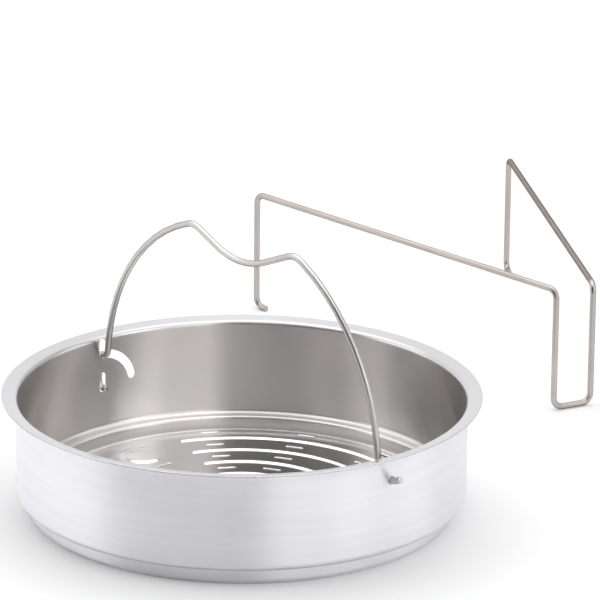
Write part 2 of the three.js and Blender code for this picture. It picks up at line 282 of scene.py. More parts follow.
def ring_quads(rows, sides):
    """Corners of the quads between closed rings of points, ring after ring."""
    i, j = np.meshgrid(np.arange(rows - 1) * sides, np.arange(sides), indexing="ij")
    k = (j + 1) % sides
    return np.stack((i + j, i + k, i + sides + k, i + sides + j), axis=2).reshape(-1, 4)


def even(count):
    """Angles evenly round a circle."""
    return 2 * np.pi * np.arange(count) / count


def new_piece(name, vertices, faces, **uv):
    """A new smooth object at the origin, from vertices, faces, and UV pairs by the name of their map."""
    mesh = bpy.data.meshes.new(name)
    mesh.from_pydata(vertices, [], faces)
    for layer, pairs in uv.items():
        mesh.uv_layers.new(name=layer).data.foreach_set("uv", pairs.astype(np.float32).ravel())
    mesh.shade_smooth()
    piece = bpy.data.objects.new(name, mesh)
    bpy.context.scene.collection.objects.link(piece)
    return piece


# The basket: a round blank with its openings, pressed to shape


class Blank:
    """The sheet's middle line from the axis to the rim, by distance along it.

    A point of the flat blank at distance d and angle a goes to radius r(d), height z(d) and angle a.
    """

    FINE = (0.0004, math.radians(2))
    COARSE = (0.006, math.radians(12))

    def __init__(self, b):
        half = b.sheet / 2
        base = (b.base - b.sheet) / 2
        self.wall = (b.wall - b.sheet) / 2
        self.foot = base - b.foot_width
        self.half = half
        corners = [
            (0, b.floor_rise + half),
            (self.foot, b.floor_rise + half),
            (self.foot, half),
            (base, half),
            (base, b.ledge_height + half),
            (self.wall, b.ledge_height + half),
            (self.wall, b.height - half - b.rim_slope),
            (b.rim / 2 - half, b.height - half),
        ]
        bends = [0, b.floor_bend, b.foot_crease, b.foot_bend, b.ledge_bend / 2, b.ledge_bend, b.rim_bend, 0]
        self.line, self.ahead, self.distance = rounded_line(corners, bends, *self.FINE)
        self.stations = rounded_line(corners, bends, *self.COARSE)[2]
        self.rim = self.distance[-1]
        self.wall_start = self.distance[np.searchsorted(self.line[:, 0], self.wall - CLOSE)]

    def at(self, distance):
        """Radius, height and the two parts of the line's direction at a distance."""
        columns = (self.line[:, 0], self.line[:, 1], self.ahead[:, 0], self.ahead[:, 1])
        return [np.interp(distance, self.distance, column) for column in columns]

    def on_wall(self, side, height):
        """Distance and sideways angle of a point of the wall, from its height and its sideways offset."""
        upper = self.distance > self.wall_start
        distance = np.interp(height, self.line[upper, 1], self.distance[upper])
        return distance, np.arcsin(side / self.at(distance)[0])


class FloorRelief:
    """Height that ribs, dimples and the tilted brim add to the flat floor.

    A rib is a raised cosine across an arc, H (1 + cos(pi d / w)) / 2 at distance d < w from the arc's
    line, so that its ends are round. A dimple is a smooth step up to a slightly crowned top. The brim
    is a smooth step up at the outer ribs, and rises evenly outside them. All of it fades at the foot.
    """

    BRIM_BLEND = 0.0006
    FADE = (-0.001, 0.0003)
    SLOPE_STEP = 2e-5

    def __init__(self, p, blank):
        self.p = p
        self.edge = blank.foot
        outer = blank.foot - p.edge_margin - p.slot_width / 2
        self.slot_rings = outer - p.pitch * np.arange(p.rings)
        self.rib_rings = self.slot_rings - p.pitch / 2
        self.middles = even(p.sectors)
        self.dimple_angles = self.middles + np.pi / p.sectors
        self.dimple_ring = self.slot_rings[1]

    def dimple_centres(self):
        """Middles of the dimples on the flat floor."""
        return polar(self.dimple_ring, self.dimple_angles)

    def rib_ends(self):
        """Half angle of each rib's line, shorter than the rib by its round ends."""
        return self.p.rib_span / 2 - self.p.rib_width / 2 / self.rib_rings

    def __call__(self, distance, angle):
        """The relief at a distance and angle on the blank."""
        p = self.p
        off = apart(angle[:, None], self.middles).min(axis=1)[:, None]
        past = np.maximum(0, off - self.rib_ends()) * self.rib_rings
        away = np.hypot(distance[:, None] - self.rib_rings, past) / (p.rib_width / 2)
        ribs = p.rib_height * (1 + np.cos(np.pi * np.minimum(away, 1))).sum(axis=1) / 2
        from_dimples = polar(distance, angle)[:, None] - self.dimple_centres()
        gap = np.linalg.norm(from_dimples, axis=2).min(axis=1)
        edge = p.dimple / 2
        rise = smooth_step(0, 1, (edge - gap) / p.dimple_slope)
        crown = p.dimple_crown * np.maximum(0, 1 - (gap / edge) ** 2) ** 2
        past_ribs = distance - self.rib_rings[0]
        brim = p.brim_step * smooth_step(-self.BRIM_BLEND, self.BRIM_BLEND, past_ribs)
        brim += math.tan(p.brim_tilt) * np.maximum(0, past_ribs)
        fade = 1 - smooth_step(*self.FADE, distance - self.edge)
        return (ribs + p.dimple_height * rise + crown + brim) * fade

    def slope(self, distance, angle):
        """The relief's rise along the floor's own x and y, from small steps either way."""
        x, y, step = distance * np.cos(angle), distance * np.sin(angle), self.SLOPE_STEP
        at = lambda u, v: self(np.hypot(u, v), np.arctan2(v, u))
        return (
            (at(x + step, y) - at(x - step, y)) / (2 * step),
            (at(x, y + step) - at(x, y - step)) / (2 * step),
        )


def slot_outline(start, end, width, steps=9, runs=4):
    """Outline of a straight slot: two half circles of the slot's width about start and end, and the
    straight sides between them, each side in a few runs."""
    start, end = np.asarray(start, float), np.asarray(end, float)
    along = math.atan2(*(end - start)[::-1])
    sweep = along + np.pi / 2 + np.linspace(0, np.pi, steps)
    half = polar(width / 2, sweep)
    part = np.linspace(0, 1, runs + 1)[1:-1, None]
    return np.concatenate((
        start + half,
        (start + half[-1]) * (1 - part) + (end + half[-1]) * part,
        end - half,
        (end + half[0]) * (1 - part) + (start + half[0]) * part,
    ))


def arc_outline(radius, width, first, last, steps=24, cap=9):
    """Outline of a slot along an arc about the origin, with round ends."""
    sweep = np.linspace(first, last, steps)
    half_turn = np.linspace(0, np.pi, cap)[1:-1]
    tip = polar(radius, last) + polar(width / 2, last + half_turn)
    root = polar(radius, first) + polar(width / 2, first + np.pi + half_turn)
    outside, within = polar(radius + width / 2, sweep), polar(radius - width / 2, sweep[::-1])
    return np.concatenate((outside, tip, within, root))


def floor_openings(p, relief):
    """Outlines of the floor's slots on the flat blank, each lying across its radius."""
    reach = (p.slot_length - p.slot_width) / 2
    slot = slot_outline((0, -reach), (0, reach), p.slot_width)
    rows = [(m + k * p.slot_row, 0) for m in relief.middles for k in (-1, 0, 1)]
    rows += [(a, 2) for a in relief.dimple_angles]
    return [
        np.column_stack(spun(slot[:, 0] + radius, slot[:, 1], angle))
        for angle, first in rows
        for radius in relief.slot_rings[first:]
    ]


HOLE_STEPS = 24


def wall_openings(bail, blank):
    """Outlines on the flat blank of the key slot, the arc slot with its upright end, and the round hole."""
    width = bail.wire + 2 * bail.clearance
    lift = np.array((0, bail.lift))
    guide = np.array((0, bail.guide_radius))
    upright = np.pi / 2
    key_side = [
        slot_outline((0, 0), lift, width),
        slot_outline(guide, guide + lift, width),
        arc_outline(bail.guide_radius, width, upright - bail.swing, upright),
    ]
    sweep = np.linspace(0, 2 * np.pi, HOLE_STEPS, endpoint=False)
    hole = polar(width / 2, sweep)
    placed = [(outline, bail.key_height, np.pi, -1) for outline in key_side]
    placed.append((hole, bail.pin_height, 0.0, 1))
    found = []
    for outline, height, facing, side in placed:
        distance, off = blank.on_wall(outline[:, 0], height + outline[:, 1])
        found.append(polar(distance, facing + side * off))
    return found


def inside_outline(points, outline):
    """True where a point lies inside an outline: a ray to the right crosses it an odd number of times."""
    a, b = outline, np.roll(outline, -1, axis=0)
    x, y = points[:, :1], points[:, 1:]
    spans = (a[:, 1] > y) != (b[:, 1] > y)
    rise = np.where(a[:, 1] == b[:, 1], 1, b[:, 1] - a[:, 1])
    crossing = a[:, 0] + (y - a[:, 1]) * (b[:, 0] - a[:, 0]) / rise
    return ((spans & (x < crossing)).sum(axis=1) % 2).astype(bool)


def in_box(points, outline, margin=0.0):
    """Numbers of the points in an outline's box, grown by a margin."""
    low, high = outline.min(0) - margin, outline.max(0) + margin
    return np.flatnonzero(((points > low) & (points < high)).all(axis=1))


def clear_of(points, outline, margin):
    """True where a point lies outside an outline by more than a margin."""
    near = in_box(points, outline, margin)
    to, edge = points[near, None] - outline, np.roll(outline, -1, axis=0) - outline
    part = np.clip((to * edge).sum(2) / (edge * edge).sum(1), 0, 1)
    gap = np.linalg.norm(to - part[..., None] * edge, axis=2).min(axis=1)
    clear = np.ones(len(points), bool)
    clear[near] = ~inside_outline(points[near], outline) & (gap > margin)
    return clear


# Spacing of the blank's points: steps in metres, rows across a rib, a rib's end and a dimple in shares
RIB_STEP, RIB_END_GAP = 0.0017, 0.0006
RIB_ROWS = np.linspace(-1.25, 1.25, 15)
RIB_END_ROWS = np.linspace(-0.8, 0.8, 15)
MIDDLE_START, MIDDLE_STEP, MIDDLE_END_GAP = 0.004, 0.0045, 0.002
RING_STEP, RING_FEWEST = 0.0022, 12
SLOT_SIDE = 0.0028
WALL_GAP, WALL_COLUMNS = 0.0005, 264
DIMPLE_ROWS = np.concatenate(([0.2, 0.4, 0.58], np.linspace(0.66, 1.04, 11), [1.14]))
DIMPLE_CLEAR, DIMPLE_COLUMNS = 1.22, 60


def blank_points(blank, relief, p):
    """Points of the flat blank: rings close together at ribs and bends, fans of points at the ribs' ends,
    and a polar patch on each dimple."""
    rings = lambda d, a: polar(*(grid.ravel() for grid in np.meshgrid(d, a)))
    groups = [np.zeros((1, 2))]
    across = p.rib_width / 2 * RIB_ROWS
    for radius, end in zip(relief.rib_rings, relief.rib_ends()):
        round_end = p.rib_width / radius * RIB_END_ROWS
        angles = even(int(2 * np.pi * radius / RIB_STEP))
        for middle in relief.middles:
            for tip in (middle - end, middle + end):
                kept = angles[apart(angles, tip) > round_end[-1] + RIB_END_GAP / radius]
                angles = np.concatenate((kept, tip + round_end))
        groups.append(rings(radius + across, angles))
    inner = relief.rib_rings[-1] + across[0]
    slots = relief.slot_rings
    middle_rings = np.arange(MIDDLE_START, inner - MIDDLE_END_GAP, MIDDLE_STEP)
    for radius in np.concatenate((middle_rings, slots, slots + SLOT_SIDE, slots - SLOT_SIDE)):
        groups.append(polar(radius, even(max(RING_FEWEST, int(2 * np.pi * radius / RING_STEP)))))
    beyond = slots[0] + SLOT_SIDE
    wall = blank.stations[blank.stations > beyond + WALL_GAP]
    groups.append(rings(wall, even(WALL_COLUMNS)))
    points = np.concatenate(groups)
    patch = rings(p.dimple / 2 * DIMPLE_ROWS, even(DIMPLE_COLUMNS))
    for centre in relief.dimple_centres():
        points = points[np.linalg.norm(points - centre, axis=1) > p.dimple / 2 * DIMPLE_CLEAR]
        points = np.concatenate((points, centre + patch, [centre]))
    return points


OPENING_MARGIN = 0.0004
MERGE_DISTANCE = 1e-7
SMALLEST_AREA = 1e-14


def blank_mesh(points, outlines):
    """Points and triangles of the blank without its openings, from a Delaunay triangulation that keeps
    every outline."""
    for outline in outlines:
        points = points[clear_of(points, outline, OPENING_MARGIN)]
    first = len(points) + np.cumsum([0] + [len(o) for o in outlines[:-1]])
    edges = np.concatenate([
        np.column_stack((k + np.arange(len(o)), k + (np.arange(len(o)) + 1) % len(o)))
        for k, o in zip(first, outlines)
    ])
    every = np.concatenate([points, *outlines])
    made = delaunay_2d_cdt(every.tolist(), edges.tolist(), [], 0, MERGE_DISTANCE, False)
    flat = np.array(made[0], float)
    triangles = np.array(made[2], int)
    middle = flat[triangles].mean(axis=1)
    for outline in outlines:
        near = in_box(middle, outline)
        cut = near[inside_outline(middle[near], outline)]
        triangles, middle = np.delete(triangles, cut, axis=0), np.delete(middle, cut, axis=0)
    a, b, c = (flat[triangles[:, k]] for k in range(3))
    area = (b[:, 0] - a[:, 0]) * (c[:, 1] - a[:, 1]) - (b[:, 1] - a[:, 1]) * (c[:, 0] - a[:, 0])
    triangles[area < 0] = triangles[area < 0][:, ::-1]
    return flat, triangles[np.abs(area) > SMALLEST_AREA]


RIM_STEPS = 7
CUT_EASE_INSIDE, CUT_EASE_OUTSIDE = 1.6, 0.5


def pressed_basket(settings):
    """The blank, and the basket's mesh as arrays: vertices, triangles, one normal for each triangle corner,
    and for each vertex its distance along the sheet, its angle and its side of the sheet.

    Each blank point becomes a point of the middle surface. The two skins lie half a sheet either side of
    it, along the normal that the sheet has without its relief. Straight walls close the openings, and a
    half circle closes the rim.
    """
    p = settings.pattern
    blank = Blank(settings.basket)
    relief = FloorRelief(p, blank)
    outlines = floor_openings(p, relief) + wall_openings(settings.bail, blank)
    flat, triangles = blank_mesh(blank_points(blank, relief, p), outlines)
    distance, angle = np.hypot(flat[:, 0], flat[:, 1]), np.arctan2(flat[:, 1], flat[:, 0])
    radius, height, out, up = blank.at(distance)
    c, s = np.cos(angle), np.sin(angle)
    middle = np.column_stack((radius * c, radius * s, height + relief(distance, angle)))
    straight = np.column_stack((-up * c, -up * s, out))
    onward = np.column_stack((out * c, out * s, up))
    slope_x, slope_y = relief.slope(distance, angle)
    normal = unit(straight - np.column_stack((slope_x, slope_y, np.zeros(len(flat)))))

    count = len(flat)
    edge_from = triangles.ravel()
    edge_to = np.roll(triangles, -1, axis=1).ravel()
    lone = ~np.isin(edge_from * count + edge_to, edge_to * count + edge_from)
    i, j = edge_from[lone], edge_to[lone]
    at_rim = (distance[i] > blank.rim - CLOSE) & (distance[j] > blank.rim - CLOSE)

    def strip(a, b, c, d):
        """Two triangles for each four corners."""
        return np.concatenate((np.column_stack((a, b, c)), np.column_stack((a, c, d))))

    walls = strip(i[~at_rim], i[~at_rim] + count, j[~at_rim] + count, j[~at_rim])
    rim = np.unique(i[at_rim])
    turns = np.linspace(0, np.pi, RIM_STEPS)[1:-1, None, None]
    round_normal = np.cos(turns) * straight[rim] + np.sin(turns) * onward[rim]
    edge = middle[rim] + blank.half * round_normal
    edge_count = edge[..., 0].size
    edge_rows = 2 * count + np.arange(edge_count).reshape(len(turns), -1)
    levels = np.concatenate((rim[None], edge_rows, rim[None] + count))
    ri, rj = np.searchsorted(rim, i[at_rim]), np.searchsorted(rim, j[at_rim])
    hems = np.concatenate([
        strip(levels[k][ri], levels[k + 1][ri], levels[k + 1][rj], levels[k][rj])
        for k in range(len(levels) - 1)
    ])

    offset = blank.half * straight
    vertices = np.concatenate((middle + offset, middle - offset, edge.reshape(-1, 3)))
    vertex_normal = np.concatenate((normal, -normal, round_normal.reshape(-1, 3)))
    faces = np.concatenate((triangles, triangles[:, ::-1] + count, hems, walls))
    corner_normal = vertex_normal[faces]
    p0, p1, p2 = (vertices[walls[:, k]] for k in range(3))
    cut_normal = np.cross(p1 - p0, p2 - p0)
    cut_normal /= np.maximum(np.linalg.norm(cut_normal, axis=1), TINY)[:, None]
    eased = np.where(walls < count, CUT_EASE_INSIDE, CUT_EASE_OUTSIDE)[..., None] * straight[walls % count]
    corner_normal[-len(walls) :] = unit(cut_normal[:, None] + eased)

    along = np.concatenate((distance, distance, np.full(edge_count, blank.rim)))
    around = np.concatenate((angle, angle, np.tile(angle[rim], len(turns))))
    inside = np.concatenate((np.ones(count), np.zeros(count), np.full(edge_count, 0.5)))
    return blank, vertices, faces, corner_normal, along, around, inside


# Where the basket's finishes begin and end along the sheet, and where its painted highlight on the brim and
# its painted shade line under the wall lie: from the foot, the rim's edge or the wall's start
POLISH_END = (-0.0035, -0.0025)
# Band of the brim's painted highlight, and of its rougher finish.
BRIM_HIGHLIGHT_START, BRIM_HIGHLIGHT_END = (-0.0024, -0.0014), (0.0004, 0.0012)
RIM_START, RIM_LIE = (-0.012, -0.01), (0.3, 0.8)
# Painted shade: a dark line on the outside, in the crease under the wall's lower bend, where the overhang
# shades it.
FOLD_SHADE_MIDDLE, FOLD_SHADE_END = -0.0024, (0.0004, 0.0012)


def basket_piece(settings):
    """The basket as an object, with the attributes that its material reads."""
    blank, vertices, faces, normals, along, around, inside = pressed_basket(settings)
    heading = settings.bail.heading
    u = around[faces] / (2 * np.pi)
    u = np.where((u.max(axis=1) - u.min(axis=1) > 0.5)[:, None] & (u < 0), u + 1, u)
    uv = np.stack((u, along[faces] / blank.rim), axis=2)
    placed = put_in_place(vertices, heading, BASKET_PLACE)
    piece = new_piece("steamer_basket_pressed", placed, faces, blank=uv)
    from_foot, from_fold = along - blank.foot, np.abs(along - blank.wall_start - FOLD_SHADE_MIDDLE)
    lie = blank.at(along)[2]
    values = {
        "reach": along,
        "inside": inside,
        "polish": inside * (1 - smooth_step(*POLISH_END, from_foot)),
        # The brim mask carries a rougher finish and a painted highlight: a paler tone along the floor's edge.
        "brim": inside * smooth_step(*BRIM_HIGHLIGHT_START, from_foot) * (1 - smooth_step(*BRIM_HIGHLIGHT_END, from_foot)),
        "rim": smooth_step(*RIM_LIE, lie) * smooth_step(*RIM_START, along - blank.rim),
        # The next mask is painted shade: a dark line on the outside under the wall's lower bend.
        "fold_shade": (1 - inside) * (1 - smooth_step(*FOLD_SHADE_END, from_fold)),
    }
    for name, value in values.items():
        held = piece.data.attributes.new(name, "FLOAT", "POINT")
        held.data.foreach_set("value", value.astype(np.float32))
    turned = put_in_place(normals.reshape(-1, 3), heading, (0, 0))
    piece.data.normals_split_custom_set(turned.tolist())
    return piece


# The wires: a circle carried along a bent line


def bail_line(settings):
    """Corners and bend radii of the bail, in its own upright plane.

    From the pin in the key slot it goes up outside the wall, in through the arc slot, over the arch with
    its thumb dip, down inside the wall and out through the round hole.
    """
    b, w = settings.basket, settings.bail
    inside, middle = b.wall / 2 - b.sheet, (b.wall - b.sheet) / 2
    slope = (w.pin_height - w.key_height) / (2 * middle)
    hinge = lambda x: w.key_height + (x + middle) * slope
    outside = b.wall / 2 + w.wire / 2 + w.clearance
    arch = inside - w.side_gap
    guide = w.key_height + w.guide_radius
    tip_x = outside + w.tip * math.cos(w.tip_angle)
    tip_z = hinge(outside) + w.tip * math.sin(w.tip_angle)
    corners = [
        (w.pin_reach - inside, hinge(w.pin_reach - inside), 0),
        (-outside, hinge(-outside), w.bend),
        (-outside, guide, w.bend),
        (w.key_gap - inside, guide, w.bend),
        (w.key_haunch_inset - arch, w.pin_height + w.key_haunch_rise, arch),
        (-w.key_crest, w.pin_height + w.key_crest_rise, w.crest_bend),
        (-w.dip, w.pin_height + w.dip_rise, w.dip_bend),
        (w.crest, w.pin_height + w.crest_rise, w.crest_bend),
        (arch - w.haunch_inset, w.pin_height + w.haunch_rise, arch),
        (arch, hinge(arch), w.bend),
        (outside, hinge(outside), w.bend),
        (tip_x, tip_z, 0),
    ]
    x, z, bends = np.array(corners).T
    return np.column_stack((x, np.zeros(len(x)), z)), bends


def stand_line(settings):
    """Corners and bend radii of the stand: foot, plain leg, arm, U-shaped leg, arm, plain leg, foot."""
    w = settings.stand
    low, high = w.wire / 2, w.height - w.wire / 2
    halves = []
    for side in (1, -1):
        out = np.array((math.cos(w.spread), side * math.sin(w.spread)))
        start = np.array((0, side * w.gap / 2))
        end = start + w.arm * out
        places = (end - w.hook * out, end, end, start, start)
        halves.append(np.column_stack((places, (low, low, high, high, low))))
    bends = np.full(2 * len(places), w.bend)
    bends[[0, -1]] = 0
    return np.concatenate((halves[0], halves[1][::-1])), bends


WIRE_SIDES = 24
WIRE_STEP, WIRE_TURN = 0.004, math.radians(6)
END_PLACES = np.array((0.0, 0.00008, 0.00024, 0.0005))
END_SIZES = np.array((0.72, 0.86, 0.97, 1.0))
SHARP_ANGLE = math.radians(40)


def wire_piece(name, corners, bends, diameter, first_side, heading, place):
    """A round wire as an object: a circle carried along the rounded line without twist.

    Each station's side vector is the one before it, less its part along the new tangent. The cut ends
    are eased: their last rings shrink.
    """
    sides, ends = WIRE_SIDES, len(END_PLACES)
    points, tangents, distance = rounded_line(corners, bends, WIRE_STEP, WIRE_TURN)
    between = len(points) - 2
    size = np.concatenate((END_SIZES, np.ones(between), END_SIZES[::-1]))
    shift = np.concatenate((END_PLACES, np.zeros(between), -END_PLACES[::-1]))
    station = np.repeat(np.arange(len(points)), (ends, *[1] * between, ends))
    tangents, distance = tangents[station], distance[station] + shift
    points = points[station] + shift[:, None] * tangents
    side = np.zeros_like(points)
    last = np.asarray(first_side, float)
    for k, ahead in enumerate(tangents):
        side[k] = last = unit(last - (last @ ahead) * ahead)
    other = np.cross(tangents, side)
    around = even(sides)
    ring = np.cos(around)[:, None] * side[:, None] + np.sin(around)[:, None] * other[:, None]
    grid = points[:, None] + diameter / 2 * size[:, None, None] * ring
    rows = len(points)
    quads = ring_quads(rows, sides)
    caps = [list(range(sides))[::-1], list(range((rows - 1) * sides, rows * sides))]
    round_u = (quads[:, :1] % sides + (0, 1, 1, 0)) / sides
    cap_u = np.concatenate((around[::-1], around)) / (2 * np.pi)
    cap_v = np.repeat((distance[0], distance[-1]), sides)
    on_side = np.stack((round_u, distance[quads // sides]), axis=2).reshape(-1, 2)
    uv = np.concatenate((on_side, np.column_stack((cap_u, cap_v))))
    placed = put_in_place(grid.reshape(-1, 3), heading, place)
    piece = new_piece(name, placed, quads.tolist() + caps, wire=uv)
    piece.data.set_sharp_from_angle(angle=SHARP_ANGLE)
    return piece


# Materials


def feed(tree, node, inputs):
    """Links or sets each named input of a node."""
    for key, value in inputs.items():
        if isinstance(value, bpy.types.NodeSocket):
            tree.links.new(value, node.inputs[key])
        else:
            node.inputs[key].default_value = value


def add(tree, kind, inputs=None, **settings):
    """A new shader node with its settings and inputs."""
    node = tree.nodes.new("ShaderNode" + kind)
    for key, value in settings.items():
        setattr(node, key, value)
    feed(tree, node, inputs or {})
    return node


def math_node(tree, operation, *values):
    """The result of a Math node."""
    return add(tree, "Math", dict(enumerate(values)), operation=operation).outputs[0]


def scaled(tree, value, gain, start=0.0):
    """A value times gain, plus start."""
    return math_node(tree, "MULTIPLY_ADD", value, gain, start)


def combined(tree, x, y, z):
    """One vector from three values."""
    return add(tree, "CombineXYZ", {0: x, 1: y, 2: z}).outputs[0]


def noise(tree, place, scale, detail, distortion=0.0):
    """The value of a Noise texture."""
    inputs = {"Vector": place, "Scale": scale, "Detail": detail, "Distortion": distortion}
    return add(tree, "TexNoise", inputs).outputs[0]


def mixed(tree, factor, first, second, blend="MIX", clamp=True):
    """The colour that a Mix node gives."""
    inputs = {0: factor, 6: first, 7: second}
    node = add(tree, "Mix", inputs, data_type="RGBA", blend_type=blend, clamp_factor=clamp)
    return node.outputs[2]


def ranged(tree, value, low, high, to_low=0.0, to_high=1.0):
    """A value carried from one range to another, with a smooth start and end."""
    inputs = {0: value, 1: low, 2: high, 3: to_low, 4: to_high}
    return add(tree, "MapRange", inputs, interpolation_type="SMOOTHSTEP").outputs[0]


def rgba(colour, gain=1.0):
    """A colour times gain, with full alpha."""
    return (*(min(1.0, c * gain) for c in colour), 1.0)


BROAD_SCALE, BROAD_PART = 0.23, 0.25
PATCH_DETAIL, PATCH_BEND, PATCH_RANGE = 3.0, 0.6, (0.42, 0.72)


def brushed_grain(tree, position, contrast):
    """A fine and a broad noise on a stretched position: about 0 to 1, with 0.5 in the middle."""
    fine, broad = (noise(tree, position, scale, 1.0) for scale in (1.0, BROAD_SCALE))
    level = math_node(tree, "SUBTRACT", scaled(tree, broad, BROAD_PART, fine), (1 + BROAD_PART) / 2)
    return scaled(tree, level, contrast, 0.5)


def handling_marks(tree, position, scale):
    """Soft patches, 0 to 1."""
    return ranged(tree, noise(tree, position, scale, PATCH_DETAIL, PATCH_BEND), *PATCH_RANGE)


def grouped(tree, pattern, number, position, value):
    """A pattern's result from its shader group, which is made at its first use."""
    name = pattern.__name__.replace("_", " ").capitalize()
    made = bpy.data.node_groups.get(name)
    if made is None:
        made = bpy.data.node_groups.new(name, "ShaderNodeTree")
        new_socket = made.interface.new_socket
        new_socket(name="Position", in_out="INPUT", socket_type="NodeSocketVector")
        new_socket(name=number, in_out="INPUT", socket_type="NodeSocketFloat")
        new_socket(name="Result", in_out="OUTPUT", socket_type="NodeSocketFloat")
        given, result = made.nodes.new("NodeGroupInput"), made.nodes.new("NodeGroupOutput")
        made.links.new(pattern(made, *given.outputs[:2]), result.inputs[0])
    return add(tree, "Group", {0: position, 1: value}, node_tree=made).outputs[0]


def empty_material(name):
    """A node material without nodes, and its tree."""
    material = bpy.data.materials.new(name)
    material.use_nodes = True
    material.node_tree.nodes.clear()
    return material, material.node_tree


def steel_material(name):
    """A node material, its tree, and its metal Principled shader, joined to the output."""
    material, tree = empty_material(name)
    shader = add(tree, "BsdfPrincipled", {"Metallic": 1.0})
    add(tree, "OutputMaterial", {"Surface": shader.outputs[0]})
    return material, tree, shader


SHEET_GRAIN_ROUND, SHEET_GRAIN_ALONG, SHEET_GRAIN_CONTRAST = 16.0, 420.0, 1.3
SHEET_PATCH_SCALE = 28.0
STREAK_TONES = (0.97, 1.02)
# Painted shade in the crease under the wall: how much of the dark tone is mixed in, and how dark it is
# against the outer steel.
FOLD_SHADE_PART, FOLD_SHADE_TONE = 0.5, 0.4
OUTER_ROUGHNESS = 0.4
ROUGHNESS_CHANGES = {"inside": -0.12, "polish": -0.2, "rim": -0.09, "brim": 0.2}
SHEET_GRAIN_ROUGHNESS, INSIDE_GRAIN_PART = 0.03, 0.2
SHEET_PATCH_ROUGHNESS = 0.03
RIM_SCATTER = 0.4
SHEET_STRETCH, ACROSS = 0.9, 0.25


def basket_material(looks):
    """Satin steel: turned lines outside, smoother inside and on the floor, with a pale brim, a dull rim and a
    dark line under the wall. The brim's pale tone is a painted highlight along the floor's edge, and the dark
    line is painted shade in the crease under the wall's lower bend."""
    material, tree, shader = steel_material("satin_pressed_steel")
    names = ("reach", "inside", "polish", "brim", "rim", "fold_shade")
    masks = {n: add(tree, "Attribute", attribute_name=n).outputs["Fac"] for n in names}
    place = add(tree, "TexCoord").outputs["Object"]
    to_middle = (-BASKET_PLACE[0], -BASKET_PLACE[1], 0)
    centred = add(tree, "Mapping", {"Vector": place, "Location": to_middle}).outputs[0]
    axes = add(tree, "SeparateXYZ", {0: centred}).outputs
    round_x, round_y = (scaled(tree, axes[k], SHEET_GRAIN_ROUND) for k in (0, 1))
    stretched = combined(tree, round_x, round_y, scaled(tree, masks["reach"], SHEET_GRAIN_ALONG))
    grain = grouped(tree, brushed_grain, "Contrast", stretched, SHEET_GRAIN_CONTRAST)
    marks = grouped(tree, handling_marks, "Patch scale", centred, SHEET_PATCH_SCALE)
    satin = math_node(tree, "SUBTRACT", 1.0, masks["inside"])

    steel = rgba(looks.outer)
    # The brim's colour is a painted highlight along the floor's edge.
    finishes = {"inside": looks.inner, "polish": looks.floor, "brim": looks.brim, "rim": looks.rim}
    for name, colour in finishes.items():
        steel = mixed(tree, masks[name], steel, rgba(colour))
    # Painted shade: the outer steel darkened along the crease under the wall.
    steel = mixed(tree, scaled(tree, masks["fold_shade"], FOLD_SHADE_PART), steel, rgba(looks.outer, FOLD_SHADE_TONE))
    streak = ranged(tree, grain, 0.0, 1.0, *STREAK_TONES)
    streaked = mixed(tree, 1.0, steel, combined(tree, streak, streak, streak), "MULTIPLY")

    rough = OUTER_ROUGHNESS
    for name, by in ROUGHNESS_CHANGES.items():
        rough = scaled(tree, masks[name], by, rough)
    lines = scaled(tree, math_node(tree, "SUBTRACT", grain, 0.5), SHEET_GRAIN_ROUGHNESS)
    part = scaled(tree, satin, 1 - INSIDE_GRAIN_PART, INSIDE_GRAIN_PART)
    feed(tree, shader, {
        "Base Color": mixed(tree, satin, steel, streaked),
        "Metallic": scaled(tree, masks["rim"], -RIM_SCATTER, 1.0),
        "Roughness": scaled(tree, marks, SHEET_PATCH_ROUGHNESS, scaled(tree, lines, part, rough)),
        "Anisotropic": SHEET_STRETCH,
        "Anisotropic Rotation": ACROSS,
        "Tangent": add(tree, "Tangent", direction_type="UV_MAP", uv_map="blank").outputs[0],
    })
    return material


WIRE_GRAIN_ROUND, WIRE_GRAIN_ALONG, WIRE_GRAIN_CONTRAST = 4.0, 45.0, 1.6
WIRE_PATCH_SCALE = 60.0
WIRE_GRAIN_RANGE, WIRE_GRAIN_TONES = (0.1, 0.9), (0.86, 1.1)
WIRE_PATCH_PART, WIRE_PATCH_TONE = 0.35, 0.88
# Painted shade at the wire's edges: the range of the facing value, and the dark tone.
WIRE_EDGE_SHADE_RANGE, WIRE_EDGE_SHADE_TONE = (0.5, 0.9), 0.35
WIRE_GRAIN_ROUGHNESS, WIRE_PATCH_ROUGHNESS = 0.12, 0.05
BAIL_ROUGHNESS, STAND_ROUGHNESS = 0.33, 0.34


